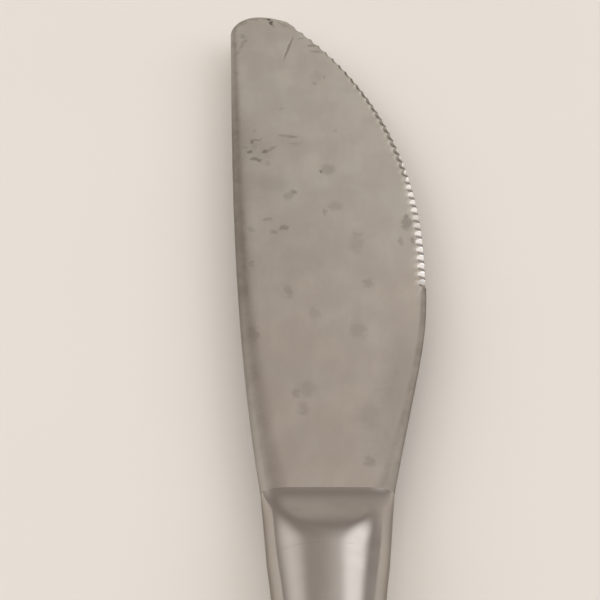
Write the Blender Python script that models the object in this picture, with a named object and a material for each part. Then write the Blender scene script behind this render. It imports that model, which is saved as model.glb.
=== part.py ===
"""Table knife with a hollow handle, in metres, +Z up.

The knife lies on its side: +Y runs towards the tip, +X towards the cutting edge, and z = 0 is the
surface under the lower flat of the handle. The origin is under the middle of that flat.

Each piece is modelled about the knife's own axis, with y = 0 at the blade's shoulder and z = 0 in the
middle plane of the blade. One empty then carries all of them to their place.
"""

import math
from dataclasses import dataclass

import bmesh
import bpy
from mathutils import Vector

MM = 0.001

# Blade outline: x runs across the knife from its axis, y along it from the blade's shoulder
BLADE_LENGTH = 88.2 * MM
BLADE_BASE_WIDTH = 14.5 * MM
EDGE_REACH = 12.27 * MM  # x of the belly of the cutting edge
EDGE_REACH_AT = 37.5 * MM  # and its y
SPINE_REACH = 12.65 * MM  # -x of the spine near the tip
TIP_AT = -8.6 * MM  # x of the top of the round tip
BELLY_END = -4.55 * MM  # x where the belly gives way to the round tip
BELLY_END_DROP = 1.4 * MM  # and how far that is short of the tip's top
SPINE_END_DROP = 4.4 * MM  # how far short of the tip's top the spine gives way to it

# Handles of the outline's curves, as shares of each curve's run across and along the knife
HEEL_HANDLES = ((0.79, 0.6), (1.0, 0.62))
BELLY_HANDLES = ((0.0, 0.49), (0.51, 0.81))
TIP_FRONT_HANDLES = ((0.2, 0.4), (0.55, 1.0))
TIP_BACK_HANDLES = ((0.56, 0.0), (1.0, 0.44))
SPINE_HANDLES = ((0.17, 0.34), (0.3, 0.68))

# Blade section
SPINE_THICKNESS = 2.4 * MM  # at the shoulder
TIP_THICKNESS = 1.4 * MM  # at the spine's end
EDGE_THICKNESS = 0.6 * MM  # of the ground flats where they meet at the belly
CUTTING_THICKNESS = 0.3 * MM  # of the blunt nose of the cutting edge
HEEL_THICKNESS = 0.9 * MM  # of the blunt nose at the shoulder
SPINE_ROUND = 1.0 * MM  # width of the rounding along the spine
HEEL_ROUND = 0.6 * MM  # width of the rounding along the blunt heel
EDGE_BEVEL = 0.5 * MM  # width of the bevel along the cutting edge

# Serration, ground into the upper side only
TEETH_START = 32.25 * MM  # from the shoulder
TOOTH_PITCH = 1.49 * MM  # along the knife
GROOVE_WIDTH = 0.5 * MM  # how far a groove reaches past the bevel
GROOVE_DEPTH = 0.1 * MM  # at the nose of the edge
WHEEL_RADIUS = 2.3 * MM  # of the notches that the grooves leave in the outline

# Tang
TANG_WIDTH = 8.0 * MM
TANG_END_WIDTH = 5.0 * MM
TANG_THICKNESS = 1.2 * MM
TANG_LENGTH = 62.0 * MM
TANG_STRAIGHT = 19.0 * MM
TANG_ROOT = 4.0 * MM  # how far it is rooted in the blade
NOTCH_COUNT = 2
NOTCH_PITCH = 14.0 * MM
NOTCH_LENGTH = 4.0 * MM
NOTCH_DEPTH = 1.0 * MM

# Bolster
BOLSTER_LENGTH = 9.7 * MM
BOLSTER_LIP = 0.12 * MM  # how far its front stands proud of the blade's flats
BOLSTER_FOOT = 0.6  # how steeply the flare starts at the blade, as a share of its mean slope
BOLSTER_CORNER = 2.9 * MM  # rounding of the front's corners
LAND_LAG = 2.5  # how late the flat on top of the flare narrows to the handle's land
SPIGOT_LENGTH = 5.0 * MM

# Handle
HANDLE_LENGTH = 108.4 * MM
HANDLE_THICKNESS = 8.6 * MM
HANDLE_LAND = 2.4 * MM  # width of the flat along each side
MOUTH_WIDTH = 12.8 * MM
WAIST_WIDTH = 10.9 * MM
WAIST_AT = 14.0 * MM  # from the mouth
BUTT_WIDTH = 17.0 * MM
BUTT_AT = 90.4 * MM  # from the mouth; the round end starts here
END_ROUND = 7.0 * MM  # length over which the flats roll off at the butt
WALL = 0.8 * MM

# Joints
BRAZE_JOINT = 0.25 * MM  # room for braze between two faces
BRAZE_CLEARANCE = 0.05 * MM  # hairline between the braze and each face
BRAZE_LAP = 0.15 * MM  # how far the fillet at the shoulder stands out past the sleeve
SHOULDER_SETBACK = 1.0 * MM  # of that fillet from the corners of the blade
FILLING_CLEARANCE = 0.15 * MM

# Fineness of the facets
CORNER_STEPS = 7
HANDLE_STEPS = 17
END_STEPS = 8
BOLSTER_STEPS = 11
HEEL_STEPS = 9
TOOTH_PHASES = (0.0, 0.2, 0.5, 0.8)
TIP_STEPS = 7  # on each side of the tip's top
SPINE_STEPS = 16
END_ANGLE = math.radians(85)  # where the round butt is closed by a small flat
EDGE_SEARCHES = 40  # halvings in the search for a point of the edge
SMOOTH_ANGLE = math.radians(28)

# Places along the knife that follow from the sizes
BOLSTER_FRONT = -BRAZE_JOINT
BOLSTER_REAR = BOLSTER_FRONT - BOLSTER_LENGTH
MOUTH = BOLSTER_REAR - BRAZE_JOINT
FLAT_LENGTH = HANDLE_LENGTH - END_ROUND
RIM = BRAZE_JOINT / 2


def smooth(share):
    """S-shaped rise from 0 to 1."""
    return share * share * (3 - 2 * share)


def flare(share):
    """S-shaped rise from 0 to 1 that starts at a slope."""
    return smooth(share) + BOLSTER_FOOT * share * (1 - share) ** 2


def mix(start, end, share):
    return start + (end - start) * share


# Curves of the blade's outline


def bezier(points, share):
    a, b, c, d = points
    rest = 1 - share
    return a * rest**3 + b * (3 * rest**2 * share) + c * (3 * rest * share**2) + d * share**3


def curve(start, end, handles):
    """The four points of a curve whose handles are shares of the run from start to end."""
    run = end - start
    first, second = (start + Vector((run.x * across, run.y * along)) for across, along in handles)
    return start, first, second, end


SHOULDER_EDGE = Vector((BLADE_BASE_WIDTH / 2, 0))
SHOULDER_SPINE = Vector((-BLADE_BASE_WIDTH / 2, 0))
WIDEST = Vector((EDGE_REACH, EDGE_REACH_AT))
BELLY_TOP = Vector((BELLY_END, BLADE_LENGTH - BELLY_END_DROP))
TIP = Vector((TIP_AT, BLADE_LENGTH))
SPINE_TOP = Vector((-SPINE_REACH, BLADE_LENGTH - SPINE_END_DROP))

HEEL = curve(SHOULDER_EDGE, WIDEST, HEEL_HANDLES)
BELLY = curve(WIDEST, BELLY_TOP, BELLY_HANDLES)
TIP_FRONT = curve(BELLY_TOP, TIP, TIP_FRONT_HANDLES)
TIP_BACK = curve(TIP, SPINE_TOP, TIP_BACK_HANDLES)
SPINE = curve(SPINE_TOP, SHOULDER_SPINE, SPINE_HANDLES)


def edge_point(y):
    """The point of the cutting edge at this distance from the shoulder."""
    points = HEEL if y < EDGE_REACH_AT else BELLY
    low, high = 0.0, 1.0
    for _ in range(EDGE_SEARCHES):
        middle = (low + high) / 2
        if bezier(points, middle).y < y:
            low = middle
        else:
            high = middle
    return bezier(points, low)


def flat_height(x, y):
    """Height of the blade's ground flat above its middle plane, which tapers to the edge and the tip."""
    base = Vector((*SHOULDER_SPINE, SPINE_THICKNESS / 2))
    tip = Vector((*SPINE_TOP, TIP_THICKNESS / 2))
    edge = Vector((*WIDEST, EDGE_THICKNESS / 2))
    normal = (tip - base).cross(edge - base)
    return base.z - (normal.x * (x - base.x) + normal.y * (y - base.y)) / normal.z


# Blade


@dataclass
class RimPoint:
    """One point of the blade's outline, with the shape of the rim there."""

    place: Vector
    bevel: float  # width, seen from above
    nose: float  # half the thickness of the outermost face
    roundness: float  # 0 for a flat bevel, 1 for a round one
    groove: float = 0.0  # 0 on a ridge between teeth, 1 in the middle of a groove
    notch: float = 0.0  # how far the groove eats into the outline


def blade_rim():
    """The blade's outline from the heel along the edge, round the tip and back along the spine."""
    cutting = CUTTING_THICKNESS / 2
    rim = []
    for step in range(HEEL_STEPS):
        share = step / HEEL_STEPS
        nose = mix(HEEL_THICKNESS / 2, cutting, share)
        rim.append(RimPoint(edge_point(share * TEETH_START), HEEL_ROUND, nose, 1.0))

    teeth = int((BELLY_TOP.y - TEETH_START) / TOOTH_PITCH)
    for tooth in range(teeth):
        start = TEETH_START + tooth * TOOTH_PITCH
        chord = (edge_point(start + TOOTH_PITCH) - edge_point(start)).length
        for phase in TOOTH_PHASES:
            groove = 1 - (2 * phase - 1) ** 2
            notch = groove * chord**2 / (8 * WHEEL_RADIUS)
            place = edge_point(start + phase * TOOTH_PITCH)
            rim.append(RimPoint(place, EDGE_BEVEL, cutting, 0.0, groove, notch))
    rim.append(RimPoint(edge_point(TEETH_START + teeth * TOOTH_PITCH), EDGE_BEVEL, cutting, 0.0))

    for step in range(1, 2 * TIP_STEPS):
        half, along = divmod(step, TIP_STEPS)
        place = bezier((TIP_FRONT, TIP_BACK)[half], along / TIP_STEPS)
        share = step / (2 * TIP_STEPS)
        rim.append(RimPoint(place, mix(EDGE_BEVEL, SPINE_ROUND, share), cutting, share))
    for step in range(SPINE_STEPS + 1):
        rim.append(RimPoint(bezier(SPINE, step / SPINE_STEPS), SPINE_ROUND, cutting, 1.0))
    return rim


def inward(rim, index):
    """Unit vector into the blade, square to the outline; along the shoulder at its two corners."""
    if index == 0:
        return Vector((-1, 0))
    if index == len(rim) - 1:
        return Vector((1, 0))
    along = (rim[index + 1].place - rim[index - 1].place).normalized()
    return Vector((-along.y, along.x))


def rim_profile(point, into):
    """Points across the rim, from the border of the lower flat over the nose to that of the upper one."""
    nose = point.place + into * point.notch
    half_way = math.sin(math.radians(45))

    def side(sign, bevel, nose_height):
        border = point.place + into * bevel
        top = flat_height(border.x, border.y)
        share = mix(0.5, 1 - half_way, point.roundness)
        lift = mix(0.5, half_way, point.roundness)
        middle = nose.lerp(border, share)
        low = sign * nose_height
        high = sign * top
        return (*border, high), (*middle, mix(low, high, lift)), (*nose, low)

    lower = side(-1, point.bevel, point.nose)
    upper = side(1, point.bevel + GROOVE_WIDTH * point.groove, point.nose - GROOVE_DEPTH * point.groove)
    return [*lower, *reversed(upper)]


def blade_body():
    rim = blade_rim()
    profiles = [rim_profile(point, inward(rim, i)) for i, point in enumerate(rim)]
    return loft(list(zip(*profiles)))


def tang_bar(grow):
    """The tang, or the room for it where grow is more than 0, as an extruded outline with notches."""

    def half_width(y):
        taper = max(0.0, (-y - TANG_STRAIGHT) / (TANG_LENGTH - TANG_STRAIGHT))
        return mix(TANG_WIDTH, TANG_END_WIDTH, taper) / 2 + grow

    side = [(half_width(0), TANG_ROOT), (half_width(0), -TANG_STRAIGHT)]
    for notch in range(1, NOTCH_COUNT + 1):
        start = -TANG_STRAIGHT - notch * NOTCH_PITCH + NOTCH_LENGTH / 2 - grow
        end = start - NOTCH_LENGTH + 2 * grow
        side += [(half_width(start), start), (half_width(start) - NOTCH_DEPTH, start)]
        side += [(half_width(end) - NOTCH_DEPTH, end), (half_width(end), end)]
    side.append((half_width(-TANG_LENGTH), -TANG_LENGTH - grow))
    outline = side + [(-x, y) for x, y in reversed(side)]
    half = TANG_THICKNESS / 2 + grow
    return loft([[(x, y, z) for x, y in outline] for z in (-half, half)])


# Sections of the handle and bolster


def half_section(half_width, half_thickness, half_land, rim, y):
    """The upper half of a section: round sides and a flat land, from the +X rim over to the -X rim."""
    side = []
    for step in range(CORNER_STEPS + 1):
        angle = math.pi / 2 * step / CORNER_STEPS
        x = mix(half_land, half_width, math.cos(angle))
        side.append((x, y, mix(rim, half_thickness, math.sin(angle))))
    return side + [(-x, y, z) for x, y, z in reversed(side)]


def full_section(half_width, half_thickness, half_land, y):
    upper = half_section(half_width, half_thickness, half_land, 0.0, y)
    return upper + [(x, y, -z) for x, y, z in reversed(upper[1:-1])]


def handle_size(back, inset):
    """Half width, half thickness and half land of the handle this far behind its mouth.

    inset takes the surface that far inside the outer one, at the sides, the flats and the butt.
    """
    half_waist = WAIST_WIDTH / 2
    half_butt = BUTT_WIDTH / 2
    half_thickness = HANDLE_THICKNESS / 2 - inset
    half_land = HANDLE_LAND / 2
    if back < WAIST_AT:
        half_width = mix(half_waist, MOUTH_WIDTH / 2, (1 - back / WAIST_AT) ** 2) - inset
    else:
        swell = min(1.0, (back - WAIST_AT) / (BUTT_AT - WAIST_AT))
        half_width = mix(half_waist, half_butt, smooth(swell)) - inset
    if back > BUTT_AT:
        taper = round_end(back - BUTT_AT, HANDLE_LENGTH - BUTT_AT - inset)
        half_width *= taper
        half_land *= taper
    if back > FLAT_LENGTH:
        half_thickness *= round_end(back - FLAT_LENGTH, END_ROUND - inset)
    return half_width, half_thickness, half_land


def round_end(past, length):
    """Share of the full size that is left this far into a round end of this length."""
    return math.cos(math.asin(past / length * math.sin(END_ANGLE)))


def handle_stations(start, inset):
    """Distances behind the mouth at which the handle's sections are taken, closer together at the butt."""
    stations = [mix(start, BUTT_AT, step / HANDLE_STEPS) for step in range(HANDLE_STEPS)]
    length = HANDLE_LENGTH - BUTT_AT - inset
    for step in range(END_STEPS + 1):
        stations.append(BUTT_AT + length * math.sin(END_ANGLE * step / END_STEPS) / math.sin(END_ANGLE))
    return stations


def handle_ring(back, inset):
    return full_section(*handle_size(back, inset), MOUTH - back)


def bolster_ring(share):
    """A section of the bolster's S-shaped flare: 0 at the blade, 1 at the handle's mouth."""
    mouth_width, mouth_thickness, mouth_land = handle_size(0.0, 0.0)
    front_width = BLADE_BASE_WIDTH / 2
    front_thickness = SPINE_THICKNESS / 2 + BOLSTER_LIP
    return full_section(
        mix(front_width, mouth_width, share),
        mix(front_thickness, mouth_thickness, flare(share)),
        mix(front_width - BOLSTER_CORNER, mouth_land, smooth(share) ** LAND_LAG),
        mix(BOLSTER_FRONT, BOLSTER_REAR, share),
    )


# Meshes from rings of points


def loft(rings, joined=False):
    """A closed mesh through rings of equal count, capped at its two ends or joined end to end."""
    mesh = bmesh.new()
    loops = [[mesh.verts.new(point) for point in ring] for ring in rings]
    pairs = list(zip(loops, loops[1:]))
    if joined:
        pairs.append((loops[-1], loops[0]))
    else:
        mesh.faces.new(loops[0])
        mesh.faces.new(loops[-1])
    for first, second in pairs:
        skin(mesh, first, second, True)
    return mesh


def skin(mesh, first, second, around):
    """Quads between two rows of points, all the way around or only along them."""
    count = len(first)
    for i in range(count if around else count - 1):
        j = (i + 1) % count
        mesh.faces.new((first[i], first[j], second[j], second[i]))


def shell_body(sign):
    """Half of the pressed handle: an outer and an inner skin with a rim, open at the mouth."""
    mesh = bmesh.new()

    def rows(inset):
        made = []
        for back in handle_stations(0.0, inset):
            points = half_section(*handle_size(back, inset), RIM, MOUTH - back)
            made.append([mesh.verts.new((x, y, sign * z)) for x, y, z in points])
        return made

    outer = rows(0.0)
    inner = rows(WALL)
    for surface in (outer, inner):
        for first, second in zip(surface, surface[1:]):
            skin(mesh, first, second, False)
        mesh.faces.new(surface[-1])
    skin(mesh, outer[0], inner[0], False)
    for end in (0, -1):
        skin(mesh, [row[end] for row in outer], [row[end] for row in inner], False)
    mesh.faces.new((outer[-1][0], outer[-1][-1], inner[-1][-1], inner[-1][0]))
    return mesh


def bolster_body():
    """The flare, its shoulder against the mouth, and the spigot inside the mouth."""
    rings = [bolster_ring(step / BOLSTER_STEPS) for step in range(BOLSTER_STEPS + 1)]
    inset = WALL + BRAZE_JOINT
    for back in (-BRAZE_JOINT, 0.0, SPIGOT_LENGTH):
        rings.append(full_section(*handle_size(max(0.0, back), inset), MOUTH - back))
    return loft(rings)


def seam_braze_body():
    """Flat film between the rims of the two shells, along one side, round the butt and back."""
    half = RIM - BRAZE_CLEARANCE

    def side(inset):
        stations = handle_stations(BRAZE_CLEARANCE, inset)
        return [(handle_size(back, inset)[0], MOUTH - back) for back in stations]

    def path(inset):
        there = side(inset)
        return there + [(-x, y) for x, y in reversed(there)]

    rings = []
    for outer, inner in zip(path(BRAZE_CLEARANCE), path(WALL)):
        rings.append([(*outer, -half), (*outer, half), (*inner, half), (*inner, -half)])
    return loft(rings)


def mouth_braze_body():
    """Ring with an angled section: a film on the mouth's end and a sleeve round the spigot."""
    front = -BRAZE_JOINT + BRAZE_CLEARANCE
    rear = -BRAZE_CLEARANCE
    sleeve_end = SPIGOT_LENGTH
    inside = WALL + BRAZE_JOINT - BRAZE_CLEARANCE
    outside = WALL + BRAZE_CLEARANCE
    corners = [(front, BRAZE_CLEARANCE), (rear, BRAZE_CLEARANCE), (rear, outside)]
    corners += [(sleeve_end, outside), (sleeve_end, inside), (front, inside)]
    rings = [full_section(*handle_size(max(0.0, back), inset), MOUTH - back) for back, inset in corners]
    return loft(rings, joined=True)


def tang_braze_body():
    """A fillet at the blade's shoulder and a sleeve round the tang through the bolster."""
    front = -BRAZE_CLEARANCE
    rear = BOLSTER_FRONT + BRAZE_CLEARANCE
    sleeve_end = MOUTH - SPIGOT_LENGTH
    inside = BRAZE_CLEARANCE
    outside = BRAZE_JOINT - BRAZE_CLEARANCE
    fillet_width = BLADE_BASE_WIDTH / 2 - SHOULDER_SETBACK
    fillet_height = TANG_THICKNESS / 2 + outside + BRAZE_LAP

    def ring(half_width, half_height, y):
        corners = ((1, 1), (-1, 1), (-1, -1), (1, -1))
        return [(half_width * across, y, half_height * up) for across, up in corners]

    def sleeve(grow, y):
        return ring(TANG_WIDTH / 2 + grow, TANG_THICKNESS / 2 + grow, y)

    rings = [ring(fillet_width, fillet_height, front), ring(fillet_width, fillet_height, rear)]
    rings += [sleeve(outside, rear), sleeve(outside, sleeve_end)]
    rings += [sleeve(inside, sleeve_end), sleeve(inside, front)]
    return loft(rings, joined=True)


def filling_body():
    """The cement core, just inside the shells, from behind the spigot to the butt."""
    inset = WALL + FILLING_CLEARANCE
    stations = handle_stations(SPIGOT_LENGTH + FILLING_CLEARANCE, inset)
    return loft([handle_ring(back, inset) for back in stations])


# Scene


def make_material(name, colour, roughness, metallic):
    material = bpy.data.materials.new(name)
    material.use_nodes = True
    shader = material.node_tree.nodes["Principled BSDF"]
    shader.inputs["Base Color"].default_value = (*colour, 1.0)
    shader.inputs["Roughness"].default_value = roughness
    shader.inputs["Metallic"].default_value = metallic
    material.diffuse_color = (*colour, 1.0)
    return material


def add_object(name, body, carrier):
    """A new object from a bmesh, with its faces pointing out, on the carrying empty."""
    bmesh.ops.recalc_face_normals(body, faces=body.faces)
    mesh = bpy.data.meshes.new(name)
    body.to_mesh(mesh)
    body.free()
    piece = bpy.data.objects.new(name, mesh)
    bpy.context.collection.objects.link(piece)
    piece.parent = carrier
    return piece


def add_piece(name, body, carrier, material):
    piece = add_object(name, body, carrier)
    piece.data.materials.append(material)
    piece.data.shade_smooth()
    piece.data.set_sharp_from_angle(angle=SMOOTH_ANGLE)
    return piece


def add_tool(name, body, carrier):
    """A guide for a Boolean, which isn't a piece of the knife."""
    tool = add_object(name, body, carrier)
    tool.hide_render = True
    tool.display_type = "WIRE"
    return tool


def boolean(piece, operation, tool):
    modifier = piece.modifiers.new(tool.name, "BOOLEAN")
    modifier.operation = operation
    modifier.object = tool
    modifier.solver = "EXACT"


def main():
    for old in list(bpy.data.objects):
        bpy.data.objects.remove(old, do_unlink=True)

    knife = bpy.data.objects.new("knife", None)
    knife.location = (0.0, -MOUTH + FLAT_LENGTH / 2, HANDLE_THICKNESS / 2)
    bpy.context.collection.objects.link(knife)

    satin = make_material("satin_steel", (0.42, 0.38, 0.34), 0.38, 1.0)
    polished_bolster = make_material("polished_bolster", (0.52, 0.49, 0.45), 0.16, 1.0)
    polished_upper = make_material("polished_shell_upper", (0.52, 0.49, 0.45), 0.14, 1.0)
    polished_lower = make_material("polished_shell_lower", (0.52, 0.49, 0.45), 0.14, 1.0)
    seam_solder = make_material("seam_solder", (0.50, 0.46, 0.38), 0.30, 1.0)
    mouth_solder = make_material("mouth_solder", (0.50, 0.46, 0.38), 0.30, 1.0)
    tang_solder = make_material("tang_solder", (0.50, 0.46, 0.38), 0.30, 1.0)
    cement = make_material("cement", (0.36, 0.34, 0.31), 0.85, 0.0)

    blade = add_piece("blade", blade_body(), knife, satin)
    boolean(blade, "UNION", add_tool("tang", tang_bar(0.0), knife))

    bolster = add_piece("bolster", bolster_body(), knife, polished_bolster)
    boolean(bolster, "DIFFERENCE", add_tool("tang_slot", tang_bar(BRAZE_JOINT), knife))

    add_piece("handle_shell_upper", shell_body(1), knife, polished_upper)
    add_piece("handle_shell_lower", shell_body(-1), knife, polished_lower)
    add_piece("seam_braze", seam_braze_body(), knife, seam_solder)
    add_piece("mouth_braze", mouth_braze_body(), knife, mouth_solder)
    add_piece("tang_braze", tang_braze_body(), knife, tang_solder)

    filling = add_piece("handle_filling", filling_body(), knife, cement)
    boolean(filling, "DIFFERENCE", add_tool("tang_room", tang_bar(FILLING_CLEARANCE), knife))


main()
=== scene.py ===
"""Looks of a table knife: a worn satin blade and a polished hollow handle, lying on a pale floor.

Lengths are in metres. The pieces are modelled in the knife's own frame: x across it towards the cutting
edge, y along it towards the tip with 0 at the blade's shoulder, z up from the blade's middle plane.
The materials use the same frame in millimetres.
"""

import math
from dataclasses import dataclass

import bmesh
import bpy
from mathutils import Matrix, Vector


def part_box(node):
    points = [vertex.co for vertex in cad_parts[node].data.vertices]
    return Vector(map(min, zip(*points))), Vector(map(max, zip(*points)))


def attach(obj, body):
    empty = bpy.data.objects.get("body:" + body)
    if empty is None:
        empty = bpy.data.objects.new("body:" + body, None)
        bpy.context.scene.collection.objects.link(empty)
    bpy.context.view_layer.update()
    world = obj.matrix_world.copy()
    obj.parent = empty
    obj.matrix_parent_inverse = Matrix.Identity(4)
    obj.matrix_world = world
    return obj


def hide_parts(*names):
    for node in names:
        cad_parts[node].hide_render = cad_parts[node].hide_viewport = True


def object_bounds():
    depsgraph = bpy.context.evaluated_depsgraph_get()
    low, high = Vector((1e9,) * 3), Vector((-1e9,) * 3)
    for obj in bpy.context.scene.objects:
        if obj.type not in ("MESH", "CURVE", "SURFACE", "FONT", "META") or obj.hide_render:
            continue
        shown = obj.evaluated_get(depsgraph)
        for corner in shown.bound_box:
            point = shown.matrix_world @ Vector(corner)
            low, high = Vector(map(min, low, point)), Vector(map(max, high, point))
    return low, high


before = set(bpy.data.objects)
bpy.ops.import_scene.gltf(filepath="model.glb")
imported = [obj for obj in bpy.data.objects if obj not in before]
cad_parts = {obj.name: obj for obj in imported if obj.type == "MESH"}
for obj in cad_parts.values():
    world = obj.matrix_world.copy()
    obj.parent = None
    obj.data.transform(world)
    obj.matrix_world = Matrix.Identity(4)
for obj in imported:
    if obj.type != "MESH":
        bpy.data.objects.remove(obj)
CAD_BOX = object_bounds()

MM = 0.001

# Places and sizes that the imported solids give
BLADE_LOW, BLADE_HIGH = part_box("blade")
BOLSTER_LOW, BOLSTER_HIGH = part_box("bolster")
UPPER_LOW, UPPER_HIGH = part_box("handle_shell_upper")
LOWER_LOW, LOWER_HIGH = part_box("handle_shell_lower")

JOINT = UPPER_LOW.z - LOWER_HIGH.z  # room for braze between two faces
SHOULDER_Y = BOLSTER_HIGH.y + JOINT
MIDDLE_Z = (UPPER_HIGH.z + LOWER_LOW.z) / 2
KNIFE_PLACE = Vector((0, SHOULDER_Y, MIDDLE_Z))

BLADE_LENGTH = BLADE_HIGH.y - SHOULDER_Y
BLADE_BASE_WIDTH = BOLSTER_HIGH.x - BOLSTER_LOW.x
EDGE_REACH = BLADE_HIGH.x
SPINE_REACH = -BLADE_LOW.x
SPINE_THICKNESS = BLADE_HIGH.z - BLADE_LOW.z
TANG_LENGTH = SHOULDER_Y - BLADE_LOW.y
HANDLE_LENGTH = UPPER_HIGH.y - UPPER_LOW.y
HANDLE_THICKNESS = UPPER_HIGH.z - LOWER_LOW.z
BUTT_WIDTH = UPPER_HIGH.x - UPPER_LOW.x
MOUTH = UPPER_HIGH.y - SHOULDER_Y
BOLSTER_REAR = MOUTH + JOINT
SPIGOT_LENGTH = MOUTH - (BOLSTER_LOW.y - SHOULDER_Y)

HAIRLINE = 0.0006 * MM  # between braze and steel
BOLSTER_FRONT = -HAIRLINE  # close to the blade's shoulder, because the braze there is polished over

# Blade outline, as in the solids
EDGE_REACH_AT = 37.5 * MM
TIP_AT = -8.6 * MM
BELLY_END = -4.55 * MM
BELLY_END_DROP = 1.4 * MM
SPINE_END_DROP = 4.4 * MM
HEEL_HANDLES = ((0.79, 0.6), (1.0, 0.62))
BELLY_HANDLES = ((0.0, 0.49), (0.51, 0.81))
TIP_FRONT_HANDLES = ((0.2, 0.4), (0.55, 1.0))
TIP_BACK_HANDLES = ((0.56, 0.0), (1.0, 0.44))
SPINE_HANDLES = ((0.17, 0.34), (0.3, 0.68))

# Blade section
TIP_THICKNESS = 1.4 * MM
EDGE_THICKNESS = 0.6 * MM
CUTTING_THICKNESS = 0.3 * MM
HEEL_THICKNESS = 0.9 * MM
SPINE_ROUND = 1.9 * MM
TIP_ROUND = 0.75 * MM  # the spine's rounding narrows to this at the tip
SPINE_TAPER = 3  # how late it does so
HEEL_ROUND = 0.95 * MM
FLAT_RIM, TIP_RIM, ROUND_RIM = 0.0, 0.5, 1.0  # roundness at the teeth, at the top of the tip and elsewhere
DRAWN_NOSE = 0.05 * MM  # half of the rim's thickness where the blade is drawn into the bolster
SPINE_FALL = 6  # how quickly the rounding narrows from the bolster's corner along the spine
HEEL_FALL = 14  # and along the heel
EDGE_BEVEL = 0.5 * MM
TEETH_START = 32.25 * MM
TOOTH_PITCH = 1.49 * MM
WHEEL_RADIUS = 2.3 * MM  # of the notches that the grooves leave in the outline
GROOVE_WIDTH = 0.5 * MM
GROOVE_DEPTH = 0.1 * MM
TIP_TEETH = 0.5  # size of the grooves at the tip, as a share of those at the belly

# Tang
TANG_WIDTH = 8.0 * MM
TANG_END_WIDTH = 5.0 * MM
TANG_THICKNESS = 1.2 * MM
TANG_STRAIGHT = 19.0 * MM
NOTCH_COUNT = 2
NOTCH_PITCH = 14.0 * MM
NOTCH_LENGTH = 4.0 * MM
NOTCH_DEPTH = 1.0 * MM
NOTCH_SLOPE = 0.05 * MM  # run of a notch's wall over its depth

# Bolster and handle
BOLSTER_LIP = 0.12 * MM
BOLSTER_CORNER = 2.9 * MM
BOLSTER_FOOT = 0.6  # how steeply the flare starts at the blade, as a share of its mean slope
LAND_LAG = 2.5  # how late the flat on top of the flare narrows to the handle's land
BOLSTER_EDGE = 0.08 * MM  # softening of the front edge
HANDLE_LAND = 2.4 * MM
LAND_CROWN = 0.03 * MM  # polishing rounds the land off by so much towards its edges
MOUTH_WIDTH = 12.8 * MM
WAIST_WIDTH = 10.9 * MM
WAIST_AT = 14.0 * MM
BUTT_AT = 90.4 * MM
END_ROUND = 7.0 * MM
FLAT_LENGTH = HANDLE_LENGTH - END_ROUND
WALL = 0.8 * MM
BRAZE_DIP = 0.001 * MM  # how far the braze is polished below the steel

# Fineness of the meshes
HEEL_ROWS = 36
TOOTH_ROWS = 10
TIP_ROWS = 24
PROFILE_STEPS = 6
FLAT_COLUMNS = (0.03, 0.2, 0.4, 0.6, 0.8, 0.97)  # shares of the flat's width
CORNER_STEPS = 22
LAND_SHARES = (0.7, 0.35, 0.0)  # columns on half of the land, as shares of its width
BOLSTER_STEPS = 48
HANDLE_ROWS = 56
END_ROWS = 22
END_ANGLE = math.radians(88)  # how far round the end of the butt the sections go
SEARCHES = 40  # halvings when a point of a curve is looked for
SMOOTH_ANGLE = math.radians(24)  # edges that turn more than this are sharp
MERGE = 1e-7  # points closer together than this are joined

# Camera: the photograph's frame is square
VIEW_TARGET = KNIFE_PLACE + Vector((-2.96, 29.6, 0.8)) * MM
VIEW_DISTANCE = 226.8 * MM
VIEW_ELEVATION = math.radians(43.6)
VIEW_BACK = Vector((0, -math.cos(VIEW_ELEVATION), math.sin(VIEW_ELEVATION)))
VIEW_UP = Vector((0, math.sin(VIEW_ELEVATION), math.cos(VIEW_ELEVATION)))
SENSOR = 36.0  # millimetres
LENS = 114.4  # millimetres
CLIP_START = 10 * MM
PHOTO_SIZE = 600  # pixels, in width and in height

# Floor and lamps
FLOOR_SIZE = 12.0
LAMP_DISTANCE = 1.4


def smooth(share):
    """S-shaped rise from 0 to 1."""
    return share * share * (3 - 2 * share)


def mix(start, end, share):
    """The value at this share of the way from start to end."""
    return start + (end - start) * share


def clamp(value, limit):
    """The value, held between the limit and its negative."""
    return max(-limit, min(limit, value))


def flare(share):
    """S-shaped rise from 0 to 1 that starts at a slope."""
    return smooth(share) + BOLSTER_FOOT * share * (1 - share) ** 2


# Meshes from rings of points


def skin(mesh, first, second, around, row=0, finish=None):
    """Quads between two rows of points, all the way around or only along them."""
    count = len(first)
    for i in range(count if around else count - 1):
        j = (i + 1) % count
        face = mesh.faces.new((first[i], first[j], second[j], second[i]))
        if finish:
            face.material_index = finish(row, i)


def loft(mesh, rings, finish=None):
    """Skin through rings of equal count, closed at both ends; finish tells each face's material."""
    loops = [[mesh.verts.new(point) for point in ring] for ring in rings]
    for row, (first, second) in enumerate(zip(loops, loops[1:])):
        skin(mesh, first, second, True, row, finish)
    for end in (loops[0], loops[-1]):
        mesh.faces.new(end)
    return loops


def ring_mesh(rings):
    """A body with a hole through it: skin through rings of equal count, from the last on to the first."""
    mesh = bmesh.new()
    loops = [[mesh.verts.new(point) for point in ring] for ring in rings]
    for first, second in zip(loops, loops[1:] + loops[:1]):
        skin(mesh, first, second, True)
    return mesh


# Outline of the blade


def bezier(points, share):
    """The point of a cubic curve at this share of its run."""
    a, b, c, d = points
    rest = 1 - share
    return a * rest**3 + b * (3 * rest**2 * share) + c * (3 * rest * share**2) + d * share**3


def curve(start, end, handles):
    """The four points of a curve whose handles are shares of the run from start to end."""
    run = end - start
    first, second = (start + Vector((run.x * across, run.y * along)) for across, along in handles)
    return start, first, second, end


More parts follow.
